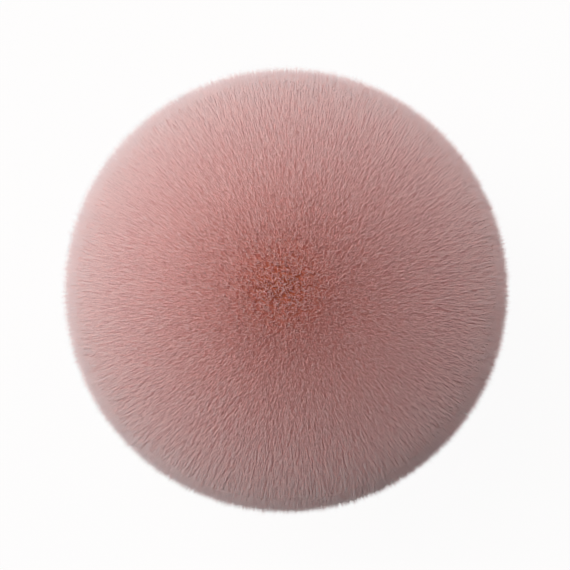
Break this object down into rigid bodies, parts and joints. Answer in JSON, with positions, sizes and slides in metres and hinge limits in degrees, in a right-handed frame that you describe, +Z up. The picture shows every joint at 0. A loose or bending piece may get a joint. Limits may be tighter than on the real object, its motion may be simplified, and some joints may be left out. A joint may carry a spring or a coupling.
{
  "type": "kabuki brush",
  "caption": "Short make-up brush that stands on its base: a wide domed head of dense soft bristles in a crimped metal ferrule on a waisted, weighted handle.",
  "frame": {"origin": "centre of the foot, the flat ring that the brush stands on", "axes": "+Z up the brush's axis, from the foot to the top of the bristles; X and Y are any two directions across the round base"},
  "size_m": [0.0649, 0.0649, 0.0883],
  "materials": {
    "bristle": "matte",
    "thread": "matte",
    "glue": "satin",
    "rose_metal": "polished",
    "moulded_plastic": "matte",
    "lacquer": "satin",
    "steel": "satin",
    "foam": "matte"
  },
  "bodies": {
    "root": {"bristle_centre": "bristle", "bristle_inner_ring": "bristle", "bristle_middle_ring": "bristle", "bristle_outer_ring": "bristle", "binding_thread": "thread", "root_plug": "glue", "ferrule": "rose_metal", "trim_ring": "rose_metal", "handle_core": "moulded_plastic", "handle_sleeve": "lacquer", "handle_weight": "steel", "weight_pad": "foam", "base_cap": "moulded_plastic", "base_disc": "rose_metal"}
  },
  "joints": []
}
